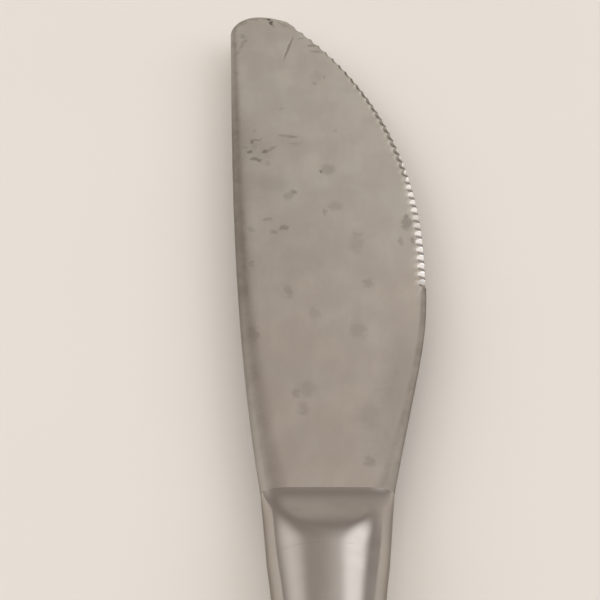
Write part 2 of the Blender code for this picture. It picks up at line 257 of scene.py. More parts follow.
SHOULDER_EDGE = Vector((BLADE_BASE_WIDTH / 2, 0))
SHOULDER_SPINE = Vector((-BLADE_BASE_WIDTH / 2, 0))
WIDEST = Vector((EDGE_REACH, EDGE_REACH_AT))
BELLY_TOP = Vector((BELLY_END, BLADE_LENGTH - BELLY_END_DROP))
TIP = Vector((TIP_AT, BLADE_LENGTH))
SPINE_TOP = Vector((-SPINE_REACH, BLADE_LENGTH - SPINE_END_DROP))

TEETH = int((BELLY_TOP.y - TEETH_START) / TOOTH_PITCH)

HEEL = curve(SHOULDER_EDGE, WIDEST, HEEL_HANDLES)
BELLY = curve(WIDEST, BELLY_TOP, BELLY_HANDLES)
TIP_FRONT = curve(BELLY_TOP, TIP, TIP_FRONT_HANDLES)
TIP_BACK = curve(TIP, SPINE_TOP, TIP_BACK_HANDLES)
SPINE = curve(SPINE_TOP, SHOULDER_SPINE, SPINE_HANDLES)


def curve_at(points, y):
    """The point of a curve at this distance from the shoulder."""
    rising = points[-1].y > points[0].y
    low, high = 0.0, 1.0
    for _ in range(SEARCHES):
        middle = (low + high) / 2
        if (bezier(points, middle).y < y) == rising:
            low = middle
        else:
            high = middle
    return bezier(points, low)


def edge_point(y):
    """The point of the outline's cutting side at this distance from the shoulder."""
    return curve_at(HEEL if y < EDGE_REACH_AT else BELLY, y)


# The blade's upper flat, a plane that comes down towards the edge and the tip
FLAT_BASE = Vector((*SHOULDER_SPINE, SPINE_THICKNESS / 2))
FLAT_TIP = Vector((*SPINE_TOP, TIP_THICKNESS / 2))
FLAT_EDGE = Vector((*WIDEST, EDGE_THICKNESS / 2))
FLAT_NORMAL = (FLAT_TIP - FLAT_BASE).cross(FLAT_EDGE - FLAT_BASE)


def flat_height(x, y):
    """Height of the flat above the blade's middle plane."""
    run = FLAT_NORMAL.x * (x - FLAT_BASE.x) + FLAT_NORMAL.y * (y - FLAT_BASE.y)
    return FLAT_BASE.z - run / FLAT_NORMAL.z


def seen_on_flat(pixel_x, pixel_y):
    """The point of the flat, across and along it, that the photograph shows at a pixel."""
    scale = SENSOR / LENS / PHOTO_SIZE
    right = (pixel_x - PHOTO_SIZE / 2) * scale
    up = (PHOTO_SIZE / 2 - pixel_y) * scale
    ray = Vector((right, 0, 0)) + VIEW_UP * up - VIEW_BACK
    eye = VIEW_TARGET - KNIFE_PLACE + VIEW_BACK * VIEW_DISTANCE
    point = eye + ray * ((FLAT_BASE - eye).dot(FLAT_NORMAL) / ray.dot(FLAT_NORMAL))
    return Vector((point.x, point.y))


# Blade


@dataclass
class RimPoint:
    """One point of the blade's outline, with the shape of the rim there."""

    place: Vector
    bevel: float  # width, seen from above
    nose: float  # half the thickness of the outermost face
    roundness: float  # from FLAT_RIM to ROUND_RIM
    groove: float = 0.0  # 0 on a ridge between teeth, up to 1 in the middle of a groove
    notch: float = 0.0  # how far the groove eats into the outline


def drawn_rim(place, rounding, nose, fall):
    """A rounded stretch of the rim, drawn into the bolster's corner at the shoulder."""
    share = (1 - place.y / BLADE_LENGTH) ** fall
    bevel = mix(rounding, BOLSTER_CORNER, share)
    return RimPoint(place, bevel, mix(nose, DRAWN_NOSE, share), ROUND_RIM)


def edge_rim():
    """The outline from the heel along the cutting edge to the top of the tip."""
    cutting = CUTTING_THICKNESS / 2
    rim = []
    for row in range(HEEL_ROWS):
        share = row / HEEL_ROWS
        nose = mix(HEEL_THICKNESS / 2, cutting, share)
        rim.append(drawn_rim(edge_point(share * TEETH_START), HEEL_ROUND, nose, HEEL_FALL))

    for tooth in range(TEETH):
        size = mix(1.0, TIP_TEETH, smooth(tooth / TEETH))
        start = TEETH_START + tooth * TOOTH_PITCH
        chord = (edge_point(start + TOOTH_PITCH) - edge_point(start)).length
        for row in range(TOOTH_ROWS):
            phase = row / TOOTH_ROWS
            groove = 1 - (2 * phase - 1) ** 2
            notch = groove * chord**2 / (8 * WHEEL_RADIUS)  # rise of the wheel's arc over the chord
            place = edge_point(start + phase * TOOTH_PITCH)
            rim.append(RimPoint(place, EDGE_BEVEL * size, cutting, FLAT_RIM, groove * size, notch))
    bevel = EDGE_BEVEL * TIP_TEETH
    rim.append(RimPoint(edge_point(TEETH_START + TEETH * TOOTH_PITCH), bevel, cutting, FLAT_RIM))

    for row in range(1, TIP_ROWS + 1):
        share = row / TIP_ROWS
        width = mix(bevel, TIP_ROUND, smooth(share))
        roundness = mix(FLAT_RIM, TIP_RIM, share)
        rim.append(RimPoint(bezier(TIP_FRONT, share), width, cutting, roundness))
    return rim


def spine_rim(edge):
    """The outline along the spine to the top of the tip, point for point across from the edge."""
    cutting = CUTTING_THICKNESS / 2
    straight = len(edge) - TIP_ROWS
    rim = []
    for point in edge[:straight]:
        share = point.place.y / edge[straight - 1].place.y
        rounding = mix(SPINE_ROUND, TIP_ROUND, share**SPINE_TAPER)
        rim.append(drawn_rim(curve_at(SPINE, share * SPINE_TOP.y), rounding, cutting, SPINE_FALL))
    for row in range(1, TIP_ROWS + 1):
        share = row / TIP_ROWS
        roundness = mix(ROUND_RIM, TIP_RIM, share)
        rim.append(RimPoint(bezier(TIP_BACK, 1 - share), TIP_ROUND, cutting, roundness))
    return rim


def inward(rim, index, side):
    """Unit vector into the blade: square to the outline, but along the shoulder and down at the tip."""
    if index == 0:
        return Vector((-side, 0))
    if index == len(rim) - 1:
        return Vector((0, -1))
    along = (rim[index + 1].place - rim[index - 1].place).normalized()
    return Vector((-along.y, along.x)) * side


def rim_side(point, into, sign):
    """Points from the nose of the rim to the border of the upper (1) or lower (-1) flat."""
    groove = point.groove if sign > 0 else 0.0
    nose = point.place + into * point.notch
    border = point.place + into * (point.bevel + GROOVE_WIDTH * groove)
    low = point.nose - GROOVE_DEPTH * groove
    high = flat_height(border.x, border.y)
    side = []
    for step in range(PROFILE_STEPS + 1):
        share = step / PROFILE_STEPS
        turn = share * math.pi / 2
        across = mix(share, 1 - math.cos(turn), point.roundness)
        up = mix(share, math.sin(turn), point.roundness)
        side.append(Vector((*nose.lerp(border, across), sign * mix(low, high, up))))
    return side


def blade_rings():
    """Sections of the blade from shoulder to tip, each from the edge's nose over the top and back."""
    edge = edge_rim()
    spine = spine_rim(edge)
    rings = []
    for index, (front, back) in enumerate(zip(edge, spine)):
        into_front = inward(edge, index, 1)
        into_back = inward(spine, index, -1)
        ring = []
        for sign in (1, -1):
            near = rim_side(front, into_front, sign)
            far = rim_side(back, into_back, sign)
            flat = [near[-1].lerp(far[-1], share) for share in FLAT_COLUMNS]
            half = near + flat + far[::-1]
            ring += half if sign > 0 else half[::-1]
        rings.append(ring)
    return rings


def tang_rings(shoulder):
    """Sections of the tang from its end to the shoulder, point for point with the shoulder's section."""
    half_width = TANG_WIDTH / 2
    half_thickness = TANG_THICKNESS / 2

    def width_at(y):
        taper = max(0.0, (-y - TANG_STRAIGHT) / (TANG_LENGTH - TANG_STRAIGHT))
        return mix(TANG_WIDTH, TANG_END_WIDTH, taper) / 2

    def section(y, half):
        ring = []
        for point in shoulder:
            x = clamp(point.x, half_width) * half / half_width
            ring.append(Vector((x, y, clamp(point.z, half_thickness))))
        return ring

    stations = [(0.0, half_width), (-TANG_STRAIGHT, half_width)]
    for notch in range(1, NOTCH_COUNT + 1):
        start = -TANG_STRAIGHT - notch * NOTCH_PITCH + NOTCH_LENGTH / 2
        end = start - NOTCH_LENGTH
        stations += [(start, width_at(start)), (start - NOTCH_SLOPE, width_at(start) - NOTCH_DEPTH)]
        stations += [(end + NOTCH_SLOPE, width_at(end) - NOTCH_DEPTH), (end, width_at(end))]
    stations.append((-TANG_LENGTH, width_at(-TANG_LENGTH)))
    return [section(y, half) for y, half in reversed(stations)]


SATIN, GROUND = range(2)  # the blade's material slots
RIM = "rim"  # name of the mesh attribute that says how far out on the rim a point is


def blade_finish(row, column):
    """Finish of a face of the blade: its row counts from the shoulder, its column round the section."""
    half = 2 * (PROFILE_STEPS + 1) + len(FLAT_COLUMNS)  # points on the upper side, as many on the lower
    on_edge = column < PROFILE_STEPS or column >= 2 * half - 1 - PROFILE_STEPS
    on_teeth = HEEL_ROWS <= row < HEEL_ROWS + TEETH * TOOTH_ROWS
    return GROUND if on_edge and on_teeth else SATIN


def rim_shares():
    """How far out on the rim each point of a section is: 0 on the flats, 1 at the nose."""
    outwards = [step / PROFILE_STEPS for step in range(PROFILE_STEPS + 1)]
    half = outwards[::-1] + [0.0] * len(FLAT_COLUMNS) + outwards
    return half + half[::-1]


def blade_mesh():
    """The blade in one with its tang."""
    rings = blade_rings()
    tang = tang_rings(rings[0])
    mesh = bmesh.new()
    layer = mesh.verts.layers.float.new(RIM)
    loops = loft(mesh, tang + rings, lambda row, column: blade_finish(row - len(tang), column))
    for loop in loops:
        for vertex, share in zip(loop, rim_shares()):
            vertex[layer] = share
    return mesh


# Sections of the handle and bolster


def half_section(half_width, half_thickness, half_land, rim, y):
    """The upper half of a section: round sides and a crowned land, from the +X rim over to the -X rim."""
    crown = LAND_CROWN * half_thickness / (HANDLE_THICKNESS / 2)
    side = []
    for step in range(CORNER_STEPS + 1):
        angle = math.pi / 2 * step / CORNER_STEPS
        x = mix(half_land, half_width, math.cos(angle))
        top = half_thickness - crown * (2 * x / half_land - 1)  # at the slope of the crown's border
        side.append(Vector((x, y, mix(rim, top, math.sin(angle)))))
    for share in LAND_SHARES:
        side.append(Vector((half_land * share, y, half_thickness - crown * share**2)))
    return side + [Vector((-p.x, p.y, p.z)) for p in reversed(side[:-1])]


def full_section(half_width, half_thickness, half_land, y):
    """A whole section, the same above and below."""
    upper = half_section(half_width, half_thickness, half_land, 0.0, y)
    return upper + [Vector((p.x, p.y, -p.z)) for p in reversed(upper[1:-1])]


def round_end(past, length):
    """Share of the full size that is left this far into a round end of this length."""
    return math.cos(math.asin(min(1.0, past / length) * math.sin(END_ANGLE)))


def handle_size(back, inset):
    """Half width, half thickness and half land of the handle so far behind its mouth, at an inset."""
    half_waist = WAIST_WIDTH / 2
    half_thickness = HANDLE_THICKNESS / 2 - inset
    half_land = HANDLE_LAND / 2
    if back < WAIST_AT:
        half_width = mix(half_waist, MOUTH_WIDTH / 2, (1 - back / WAIST_AT) ** 2) - inset
    else:
        swell = min(1.0, (back - WAIST_AT) / (BUTT_AT - WAIST_AT))
        half_width = mix(half_waist, BUTT_WIDTH / 2, smooth(swell)) - inset
    if back > BUTT_AT:
        taper = round_end(back - BUTT_AT, HANDLE_LENGTH - BUTT_AT - inset)
        half_width *= taper
        half_land *= taper
    if back > FLAT_LENGTH:
        half_thickness *= round_end(back - FLAT_LENGTH, END_ROUND - inset)
    return half_width, half_thickness, half_land


def handle_stations(inset):
    """Distances behind the mouth at which the handle's sections are taken, closer together at the butt."""
    stations = [BUTT_AT * row / HANDLE_ROWS for row in range(HANDLE_ROWS)]
    length = HANDLE_LENGTH - BUTT_AT - inset
    for row in range(END_ROWS + 1):
        stations.append(BUTT_AT + length * math.sin(END_ANGLE * row / END_ROWS) / math.sin(END_ANGLE))
    return stations


def shell_mesh(sign):
    """Half of the pressed handle: an outer and an inner skin with a rim, open at the mouth."""
    mesh = bmesh.new()

    def rows(inset):
        made = []
        for back in handle_stations(inset):
            points = half_section(*handle_size(back, inset), JOINT / 2, MOUTH - back)
            made.append([mesh.verts.new((p.x, p.y, sign * p.z)) for p in points])
        return made

    outer = rows(0.0)
    inner = rows(WALL)
    for surface in (outer, inner):
        for first, second in zip(surface, surface[1:]):
            skin(mesh, first, second, False)
        mesh.faces.new(surface[-1])
    skin(mesh, outer[0], inner[0], False)
    for end in (0, -1):
        skin(mesh, [row[end] for row in outer], [row[end] for row in inner], False)
    mesh.faces.new((outer[-1][0], outer[-1][-1], inner[-1][-1], inner[-1][0]))
    return mesh


def bolster_ring(share, shrink=0.0):
    """A section of the bolster's S-shaped flare: 0 at the blade, 1 at the handle's mouth."""
    mouth_width, mouth_thickness, mouth_land = handle_size(-JOINT, 0.0)
    front_width = BLADE_BASE_WIDTH / 2
    front_thickness = SPINE_THICKNESS / 2 + BOLSTER_LIP
    return full_section(
        mix(front_width, mouth_width, share) - shrink,
        mix(front_thickness, mouth_thickness, flare(share)) - shrink,
        mix(front_width - BOLSTER_CORNER, mouth_land, smooth(share) ** LAND_LAG),
        mix(BOLSTER_FRONT, BOLSTER_REAR, share),
    )


def bolster_mesh():
    """The flare, its shoulder against the mouth, the spigot inside the mouth and the slot for the tang."""
    rings = [bolster_ring(0.0, BOLSTER_EDGE)]
    first = BOLSTER_EDGE / (BOLSTER_FRONT - BOLSTER_REAR)
    for step in range(BOLSTER_STEPS + 1):
        rings.append(bolster_ring(mix(first, 1.0, step / BOLSTER_STEPS)))
    inset = WALL + JOINT
    for back in (-JOINT, 0.0, SPIGOT_LENGTH):
        rings.append(full_section(*handle_size(max(0.0, back), inset), MOUTH - back))

    def slot(section, y):
        wide = TANG_WIDTH / 2 + JOINT
        high = TANG_THICKNESS / 2 + JOINT
        return [Vector((clamp(p.x, wide), y, clamp(p.z, high))) for p in section]

    rings.append(slot(rings[-1], MOUTH - SPIGOT_LENGTH))
    rings.append(slot(rings[0], BOLSTER_FRONT))
    return ring_mesh(rings)


def seam_mesh():
    """The braze between the rims of the two shells, along one side, round the butt and back."""
    half = JOINT / 2 - HAIRLINE

    def path(inset):
        there = [(handle_size(back, inset)[0], MOUTH - back) for back in handle_stations(inset)]
        return there + [(-x, y) for x, y in reversed(there)]

    rings = []
    for outer, inner in zip(path(BRAZE_DIP), path(WALL)):
        rings.append([(*outer, -half), (*outer, half), (*inner, half), (*inner, -half)])
    mesh = bmesh.new()
    loft(mesh, rings)
    return mesh


def mouth_mesh():
    """The braze ring between the bolster's shoulder and the mouth of the handle."""
    front = -JOINT + HAIRLINE
    rear = -HAIRLINE
    inside = WALL + JOINT - HAIRLINE
    outside = WALL + HAIRLINE
    corners = [(front, BRAZE_DIP), (rear, BRAZE_DIP), (rear, outside)]
    corners += [(SPIGOT_LENGTH, outside), (SPIGOT_LENGTH, inside), (front, inside)]
    return ring_mesh([full_section(*handle_size(back, inset), MOUTH - back) for back, inset in corners])


# Materials

# Colours of the finishes
SATIN_WARM = (0.642, 0.59, 0.516, 1)
SATIN_COOL = (0.625, 0.592, 0.52, 1)
SATIN_BLOTCHED = (0.515, 0.47, 0.408, 1)
SATIN_WIPED = (0.524, 0.478, 0.416, 1)
# painted shade that darkens the blade towards the handle
SATIN_HANDLE_SHADE = (0.30, 0.243, 0.208, 1)
STAINED = (0.09, 0.076, 0.062, 1)
# the rim's stamped finish, darkened partly by painted shade; the nose colour is painted shade alone
STAMPED_SHADE_PALE = (0.342, 0.295, 0.25, 1)
STAMPED_SHADE_DARK = (0.266, 0.23, 0.193, 1)
NOSE_SHADE = (0.095, 0.081, 0.067, 1)
GROUND_PALE = (0.66, 0.62, 0.58, 1)
GROUND_DARK = (0.59, 0.555, 0.515, 1)
# painted shade on the teeth
GROUND_SHADE = (0.27, 0.24, 0.205, 1)
POLISHED_CLEAN = (0.517, 0.482, 0.447, 1)
POLISHED_SMUDGED = (0.497, 0.462, 0.427, 1)
POLISHED_EDGE = (0.53, 0.51, 0.48, 1)  # tint at a grazing angle
SOLDER_PALE = (0.523, 0.486, 0.449, 1)
SOLDER_DARK = (0.483, 0.446, 0.409, 1)
CEMENT_PALE = (0.42, 0.39, 0.35, 1)
CEMENT_DARK = (0.29, 0.27, 0.24, 1)
FLOOR_PALE = (0.831, 0.772, 0.70, 1)
FLOOR_DARK = (0.81, 0.754, 0.682, 1)

# Their least and greatest roughness
SATIN_ROUGHNESS = (0.33, 0.41)
GROUND_ROUGHNESS = (0.14, 0.22)
POLISHED_ROUGHNESS = (0.13, 0.20)
SOLDER_ROUGHNESS = (0.13, 0.20)
CEMENT_ROUGHNESS = (0.8, 0.95)
FLOOR_ROUGHNESS = 0.75

# Noise: its mean, and the range that most of it covers
NOISE_MEAN = 0.5
NOISE_LOW, NOISE_HIGH = 0.3, 0.7


class Graph:
    """Shorthand for a tree of shader nodes."""

    def __init__(self, tree):
        self.tree = tree
        tree.nodes.clear()

    def node(self, kind, inputs=None, **settings):
        """A new node, with its inputs given by name or number."""
        made = self.tree.nodes.new(kind)
        for name, value in settings.items():
            setattr(made, name, value)
        for name, value in (inputs or {}).items():
            self.feed(made.inputs[name], value)
        return made

    def feed(self, socket, value):
        """Link a socket to another node's output, or set its own value."""
        if isinstance(value, bpy.types.NodeSocket):
            self.tree.links.new(value, socket)
        else:
            socket.default_value = value

    def math(self, operation, first, second=0.0):
        return self.node("ShaderNodeMath", {0: first, 1: second}, operation=operation).outputs[0]

    def times(self, first, second):
        return self.math("MULTIPLY", first, second)

    def plus(self, first, second):
        return self.math("ADD", first, second)

    def larger(self, first, second):
        return self.math("MAXIMUM", first, second)

    def counted(self, value, start, unit):
        """A value counted from a start, in units."""
        return self.math("DIVIDE", self.math("SUBTRACT", value, start), unit)

    def vector(self, operation, first, second):
        return self.node("ShaderNodeVectorMath", {0: first, 1: second}, operation=operation).outputs[0]

    def scaled(self, vector, factor):
        return self.node("ShaderNodeVectorMath", {0: vector, "Scale": factor}, operation="SCALE").outputs[0]

    def length(self, vector):
        return self.node("ShaderNodeVectorMath", {0: vector}, operation="LENGTH").outputs["Value"]

    def fit(self, value, low, high, to_low=0.0, to_high=1.0):
        """Smooth change from one value to another as the input goes from low to high."""
        inputs = {"Value": value, "From Min": low, "From Max": high, "To Min": to_low, "To Max": to_high}
        made = self.node("ShaderNodeMapRange", inputs, interpolation_type="SMOOTHSTEP")
        return made.outputs["Result"]

    def noise(self, vector, scale=1.0, detail=3.0, roughness=0.5):
        inputs = {"Vector": vector, "Scale": scale, "Detail": detail, "Roughness": roughness}
        return self.node("ShaderNodeTexNoise", inputs).outputs["Fac"]

    def clouds(self, vector, scale=1.0, detail=3.0, roughness=0.5, low=NOISE_LOW, high=NOISE_HIGH):
        """Noise whose values from low to high are spread from 0 to 1."""
        return self.fit(self.noise(vector, scale, detail, roughness), low, high)

    def stretched(self, vector, lengths, turn=0.0):
        """Coordinates in which one unit has its own length along each axis, turned about Z."""
        inputs = {"Vector": vector, "Rotation": (0, 0, turn), "Scale": lengths}
        return self.node("ShaderNodeMapping", inputs, vector_type="TEXTURE").outputs[0]

    def mix(self, share, first, second):
        """Blend of two colours, whose sockets come after those for numbers and vectors."""
        return self.node("ShaderNodeMix", {0: share, 6: first, 7: second}, data_type="RGBA").outputs[2]

    def bump(self, height, strength, distance, normal=None):
        made = self.node("ShaderNodeBump", {"Height": height, "Strength": strength, "Distance": distance})
        if normal:
            self.feed(made.inputs["Normal"], normal)
        return made.outputs[0]

    def finish(self, **inputs):
        """The shader itself, with its inputs named as on the Principled node."""
        shader = self.node("ShaderNodeBsdfPrincipled")
        for name, value in inputs.items():
            self.feed(shader.inputs[name.replace("_", " ")], value)
        output = self.node("ShaderNodeOutputMaterial")
        self.tree.links.new(shader.outputs[0], output.inputs["Surface"])


def new_material(name):
    material = bpy.data.materials.new(name)
    material.use_nodes = True
    return material, Graph(material.node_tree)


def knife_place(graph):
    """Coordinates in the knife's own frame, in millimetres."""
    return graph.scaled(graph.node("ShaderNodeTexCoord").outputs["Object"], 1 / MM)


def rim_place(graph):
    """How far out on the blade's rim: 0 on the flats, 1 at the nose."""
    return graph.node("ShaderNodeAttribute", attribute_name=RIM).outputs["Fac"]


@dataclass
class Mark:
    """A stain or scratch on the blade's upper flat: a soft ellipse, in pixels of the photograph."""

    start: tuple
    end: tuple
    width: float
    strength: float


def spot(x, y, width, height, strength):
    """A mark that lies straight along or across the photograph."""
    if width > height:
        return Mark((x - width / 2, y), (x + width / 2, y), height, strength)
    return Mark((x, y - height / 2), (x, y + height / 2), width, strength)


STAINS = (
    # Cluster of dark streaks beside the spine
    Mark((251.5, 139.5), (252, 144.5), 4, 1.0),
    Mark((250, 140), (262, 138.6), 2.8, 0.75),
    Mark((240, 147.5), (249, 147), 3, 0.55),
    Mark((247.5, 153), (252.5, 151.3), 4.4, 0.95),
    Mark((262, 153), (269, 150.3), 4.8, 0.95),
    Mark((266, 151), (276, 146), 3.4, 0.55),
    Mark((248.5, 158.6), (262, 160), 3.8, 0.9),
    Mark((277, 136), (290, 135.2), 2.8, 0.48),
    Mark((286, 136.2), (298.5, 137.2), 3.2, 0.7),
    Mark((283, 143), (304, 143.5), 3.4, 0.35),
    spot(254, 147, 9, 9, 0.45),
    spot(254.5, 131, 6, 5, 0.35),
    spot(267.5, 163, 8, 6, 0.35),
    spot(258, 151, 34, 30, 0.27),
    spot(292, 141, 34, 16, 0.2),
    # Spots between the cluster and the belly
    spot(334.8, 131, 3.5, 3, 0.4),
    spot(321, 171.6, 4.2, 3.6, 0.9),
    spot(328, 169.5, 16, 12, 0.4),
    Mark((289, 193), (298, 190), 5.2, 0.7),
    Mark((285, 199), (295, 192), 9, 0.45),
    spot(325, 212, 5, 8, 0.45),
    spot(335, 206, 17, 10, 0.3),
    spot(268, 219.5, 12, 5, 0.45),
    spot(271, 184, 46, 20, 0.24),
    Mark((278, 229), (290, 226.5), 5, 0.62),
    Mark((270, 232.5), (278, 231), 5, 0.45),
    spot(251, 230, 10, 9, 0.4),
    spot(252, 264, 6, 8, 0.4),
    Mark((286, 284), (292, 298), 9, 0.38),
    spot(298, 262, 50, 34, 0.24),
    spot(315, 314, 14, 13, 0.28),
    spot(356, 243, 17, 23, 0.32),
    Mark((350, 237), (364, 232.5), 6, 0.32),
    spot(406, 217, 6, 6, 0.7),
    spot(407, 223, 13, 15, 0.65),
    spot(401, 241.5, 6, 9, 0.4),
    spot(413.5, 241.5, 4, 8, 0.6),
    spot(368, 283, 14, 11, 0.36),
    # Broad darker patches along the spine and towards the handle
    Mark((244, 108), (247, 224), 32, 0.26),
    Mark((412, 325), (384, 482), 50, 0.32),
    spot(253, 334, 13, 16, 0.55),
    spot(358, 330, 21, 20, 0.32),
    spot(297, 392, 11, 12, 0.42),
    spot(307, 389, 22, 18, 0.32),
    Mark((302, 401), (307, 418), 12, 0.36),
    spot(396, 373, 14, 17, 0.36),
    spot(376, 418, 46, 36, 0.27),
    spot(403, 427, 13, 15, 0.38),
    spot(370, 462, 13, 12, 0.45),
    spot(389, 463, 12, 16, 0.28),
    # Round the tip
    Mark((235.5, 28), (247.5, 20), 4, 0.4),
    Mark((246, 20.2), (262, 18.4), 3.4, 0.42),
    Mark((260, 18.4), (276, 20.6), 3.4, 0.4),
    Mark((275, 20.6), (290, 28.8), 3.6, 0.36),
    spot(268.9, 19.4, 4, 2.4, 1.4),
    spot(270.8, 23, 4, 3.4, 1.3),
    spot(272.5, 25.5, 3, 4, 0.6),
    Mark((238, 35), (247, 38), 4, 0.45),
    Mark((246, 37), (239, 52), 4, 0.42),
    Mark((240, 50), (232.5, 57), 4, 0.42),
    spot(234.3, 44, 5, 9, 0.5),
    Mark((234.5, 69), (239, 76.5), 3, 0.4),
    spot(324.6, 77.8, 3.5, 5, 0.45),
    spot(315, 83.8, 7, 4, 0.45),
    spot(317, 76.5, 17, 14, 0.22),
    Mark((279, 108.4), (286, 108.4), 3, 0.28),
)

SCRATCHES = (
    Mark((293, 36), (283.5, 60), 3, 0.8),
    Mark((296, 38.7), (306, 38), 2.6, 0.4),
    Mark((306, 46.2), (318, 44.5), 3, 0.65),
    Mark((308.5, 51.2), (323, 52), 2.6, 0.5),
)

MARK_REACH = 1.3  # where a mark has faded out, as a share of its half axes
FAINT_CORE, STRONG_CORE = 0.2, 0.6  # where a faint and a strong mark start to fade
MARK_HEIGHT = 1000.0  # millimetres, so that height makes no difference


def mark_ellipse(mark):
    """The middle, half axes and turn of a mark on the flat, in millimetres."""
    start = seen_on_flat(*mark.start) / MM
    end = seen_on_flat(*mark.end) / MM
    along = end - start
    run = Vector(mark.end) - Vector(mark.start)
    square = Vector((-run.y, run.x)).normalized() * mark.width / 2
    middle = (Vector(mark.start) + Vector(mark.end)) / 2
    across = (seen_on_flat(*(middle + square)) - seen_on_flat(*(middle - square))) / MM
    half_width = abs(along.normalized().cross(across)) / 2
    return (start + end) / 2, along.length / 2, half_width, math.atan2(along.y, along.x)


def marks_mask(graph, place, marks):
    """Where the marks are, from 0 to their strength; strong ones have a sharper edge."""
    total = 0.0
    for mark in marks:
        middle, half_length, half_width, turn = mark_ellipse(mark)
        inputs = {"Vector": place, "Location": (*middle, 0), "Rotation": (0, 0, turn)}
        inputs["Scale"] = (half_length, half_width, MARK_HEIGHT)
        local = graph.node("ShaderNodeMapping", inputs, vector_type="TEXTURE").outputs[0]
        core = mix(FAINT_CORE, STRONG_CORE, min(1.0, mark.strength))
        shade = graph.fit(graph.length(local), MARK_REACH, core, 0.0, mark.strength)
        total = graph.larger(total, shade)
    return total


def warped(graph, place, scale, amount):
    """Coordinates pushed about by noise, so that outlines aren't regular."""
    inputs = {"Vector": place, "Scale": scale, "Detail": 3.0}
    push = graph.node("ShaderNodeTexNoise", inputs).outputs["Color"]
    push = graph.vector("SUBTRACT", push, (NOISE_MEAN, NOISE_MEAN, NOISE_MEAN))
    return graph.vector("ADD", place, graph.scaled(push, amount))


# Finish of the blade: shares of its colours, and places in millimetres
BLOTCH_SHARE = 0.5
WIPE_SHARE = 0.4
TINT_SHIFT = (40, 0, 0)  # so that the tint doesn't follow the blotches
# Painted shade over the blade, growing from past its tip to behind its shoulder
HANDLE_SHADE_SHARE = 0.5
HANDLE_SHADE_FROM, HANDLE_SHADE_TO = 90.0, -10.0  # along the blade, from past its tip to behind its shoulder
STAIN_SHARE = 0.6
STAIN_POWER = 1.1  # makes faint stains fainter
UPPER_SIDE = 0.05  # marks show above this height, and none shows as far below the middle plane
STAMPED_SHADE_WIDTH = 0.36  # share of the rim over which its stamped finish and painted shade take over from the flat's
# painted shade at the rim's nose
NOSE_SHADE_SHARE = 0.35
NOSE_SHADE_FROM, NOSE_SHADE_TO = 0.3, 0.9  # shares of the rim over which painted shade darkens it outwards
SIDES_MEET = 1.0  # the spine's rim passes to the edge's so far to each side of the knife's middle
SPINE_AT_BOLSTER, SPINE_FULL = 0.5, 36.0  # how much of the rim's stamped finish and painted shade shows, and where all of it does
SPINE_AT_TIP, SPINE_FADES, SPINE_FADED = 0.55, 56.0, 80.0
HEEL_AT_BOLSTER, HEEL_FULL = 0.85, 22.0
ROUGHER = 0.10  # added where the blade is marked or stamped
FINE_SCRATCHES = 0.4  # depth, as a share of the grain's


def satin_colour(graph, place, along):
    """Colour of the flats: blotched, wiped, slowly changing in tint, and darkened towards the handle by
    painted shade.
    """
    blotches = graph.clouds(place, scale=0.16, detail=4.0, roughness=0.55, low=0.35, high=0.65)
    wiped = graph.stretched(place, lengths=(2.4, 7.0, 2.4))
    wipes = graph.clouds(wiped, detail=4.0, roughness=0.6, low=0.36, high=0.64)
    shifted = graph.vector("ADD", place, TINT_SHIFT)
    tint = graph.clouds(shifted, scale=0.11, low=0.38, high=0.62)
    colour = graph.mix(tint, SATIN_WARM, SATIN_COOL)
    colour = graph.mix(graph.times(blotches, BLOTCH_SHARE), colour, SATIN_BLOTCHED)
    colour = graph.mix(graph.times(wipes, WIPE_SHARE), colour, SATIN_WIPED)
    # painted shade, darker towards the handle
    handled = graph.fit(along, HANDLE_SHADE_FROM, HANDLE_SHADE_TO, 0.0, HANDLE_SHADE_SHARE)
    return graph.mix(handled, colour, SATIN_HANDLE_SHADE)


def blade_marks(graph, place, height):
    """Where the upper side is stained or scratched, and where it is scratched alone."""
    stains = marks_mask(graph, warped(graph, place, scale=1.3, amount=1.3), STAINS)
    scratches = marks_mask(graph, warped(graph, place, scale=0.6, amount=0.25), SCRATCHES)
    either = graph.larger(stains, scratches)
    return graph.times(either, graph.fit(height, -UPPER_SIDE, UPPER_SIDE)), scratches


def stamped_and_shade_share(graph, across, along, outwards):
    """How much of the rim's stamped finish and painted shade shows: on the rim alone, less at the bolster
    and the tip.
    """
    rim = graph.fit(outwards, 0.0, STAMPED_SHADE_WIDTH)
    spine = graph.fit(across, SIDES_MEET, -SIDES_MEET)
    spine = graph.times(spine, graph.fit(along, 0.0, SPINE_FULL, SPINE_AT_BOLSTER, 1.0))
    spine = graph.times(spine, graph.fit(along, SPINE_FADES, SPINE_FADED, 1.0, SPINE_AT_TIP))
    edge = graph.fit(across, -SIDES_MEET, SIDES_MEET)
    edge = graph.times(edge, graph.fit(along, 0.0, HEEL_FULL, HEEL_AT_BOLSTER, 1.0))
    return graph.times(rim, graph.plus(spine, edge))


def stamped_and_shade_colour(graph, place, outwards):
    """Patchy colour of the rim, part stamped finish and part painted shade, with painted shade darkest at
    its nose.
    """
    patches = graph.clouds(place, scale=0.5, detail=4.0, roughness=0.6)
    colour = graph.mix(patches, STAMPED_SHADE_PALE, STAMPED_SHADE_DARK)
    return graph.mix(graph.fit(outwards, NOSE_SHADE_FROM, NOSE_SHADE_TO, 0.0, NOSE_SHADE_SHARE), colour, NOSE_SHADE)


